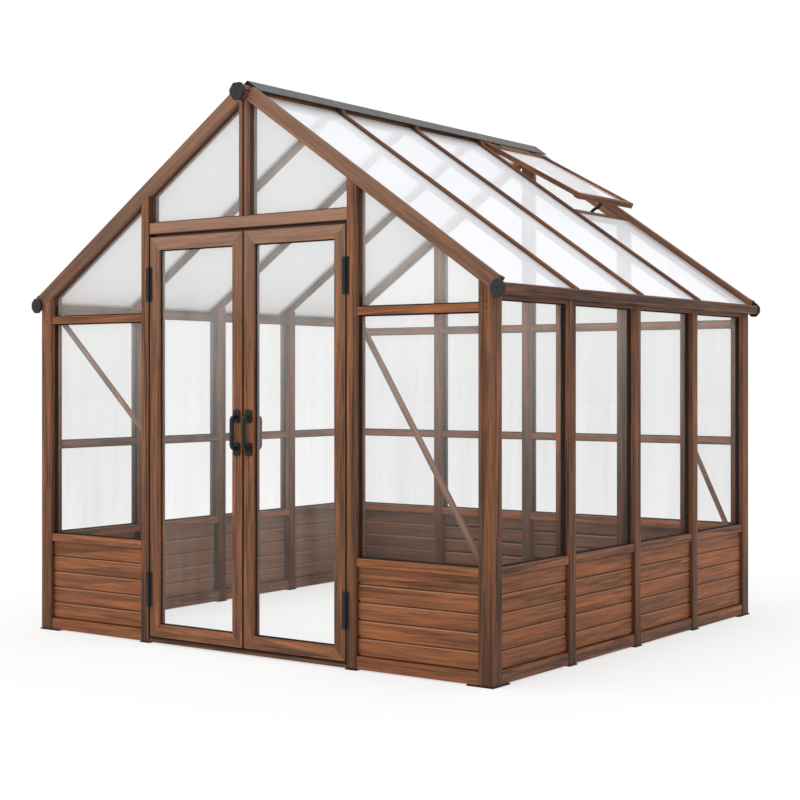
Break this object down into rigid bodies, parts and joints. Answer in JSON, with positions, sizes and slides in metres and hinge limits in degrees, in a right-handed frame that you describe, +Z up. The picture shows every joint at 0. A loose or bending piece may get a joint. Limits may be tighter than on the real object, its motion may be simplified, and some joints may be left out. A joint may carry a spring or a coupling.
{
  "type": "greenhouse",
  "caption": "Free-standing gabled timber greenhouse with boarded lower walls, glazed sides, hinged double doors and a hinged roof vent held by a slotted stay.",
  "frame": {"origin": "on the ground under the middle of the plan, level with the undersides of the foot plates", "axes": "+Z up, the doors face -Y, +X to the right of someone who faces the doors"},
  "size_m": [2.776, 2.602, 2.5856],
  "materials": {
    "timber": "orange-brown stained softwood with dark grain",
    "clear_glass": "clear flat glazing",
    "roof_sheet": "hazy translucent sheet",
    "black_metal": "satin black coating",
    "black_plastic": "matt black moulding",
    "grey_sheet_metal": "dark grey coated sheet",
    "rubber_seal": "matt black extrusion",
    "zinc_screw": "plated screw heads"
  },
  "bodies": {
    "frame": {"corner_posts": "timber", "door_posts": "timber", "right_wall_posts": "timber", "left_wall_posts": "timber", "back_wall_posts": "timber", "door_threshold_timber": "timber", "door_header_timber": "timber", "door_stop_strip": "timber", "front_king_post": "timber", "front_wall_rails": "timber", "right_wall_rails": "timber", "left_wall_rails": "timber", "back_wall_rails": "timber", "front_cladding": "timber", "right_cladding": "timber", "left_cladding": "timber", "back_cladding": "timber", "wall_braces": "timber", "eave_beams": "timber", "ridge_beam": "timber", "gable_rafters": "timber", "right_glazing_bars": "timber", "left_glazing_bars": "timber", "vent_head_rail": "timber", "vent_sill_rail": "timber", "front_panes": "clear_glass", "right_wall_panes": "clear_glass", "left_wall_panes": "clear_glass", "back_panes": "clear_glass", "right_roof_panes": "roof_sheet", "left_roof_panes": "roof_sheet", "foot_plates": "black_metal", "post_hinge_leaves": "black_metal", "vent_head_hinge_leaves": "black_metal", "stay_peg": "black_metal", "beam_end_caps": "black_plastic", "ridge_capping": "grey_sheet_metal", "wall_seals": "rubber_seal", "frame_screws": "zinc_screw"},
    "left_door": {"left_door_stiles": "timber", "left_door_rails": "timber", "left_door_pane": "clear_glass", "left_door_seal": "rubber_seal", "left_door_handles": "black_metal", "left_door_hinge_leaves": "black_metal"},
    "right_door": {"right_door_stiles": "timber", "right_door_rails": "timber", "right_door_pane": "clear_glass", "right_door_seal": "rubber_seal", "right_door_handles": "black_metal", "right_door_hinge_leaves": "black_metal"},
    "vent": {"vent_stiles": "timber", "vent_rails": "timber", "vent_pane": "roof_sheet", "vent_hinge_leaves": "black_metal", "stay_bracket": "black_metal"},
    "stay": {"stay_arm": "black_metal"}
  },
  "joints": [
    {"name": "left_door_hinge", "type": "hinge", "parent": "frame", "child": "left_door", "pos_m": [-0.583, -1.2612, 0.969], "axis": [0, 0, -1], "range_deg": [0, 110]},
    {"name": "right_door_hinge", "type": "hinge", "parent": "frame", "child": "right_door", "pos_m": [0.583, -1.2612, 0.969], "axis": [0, 0, 1], "range_deg": [0, 110]},
    {"name": "vent_hinge", "type": "hinge", "parent": "frame", "child": "vent", "pos_m": [0.08893, 0.9255, 2.52523], "axis": [0, -1, 0], "range_deg": [-6, 0]},
    {"name": "stay_pivot", "type": "hinge", "parent": "vent", "child": "stay", "pos_m": [0.62602, 0.9255, 2.20039], "axis": [0, -1, 0], "range_deg": [-73, 0]}
  ],
  "couplings": [
    {"joint": "stay_pivot", "follows": "vent_hinge", "ratio": 12}
  ]
}
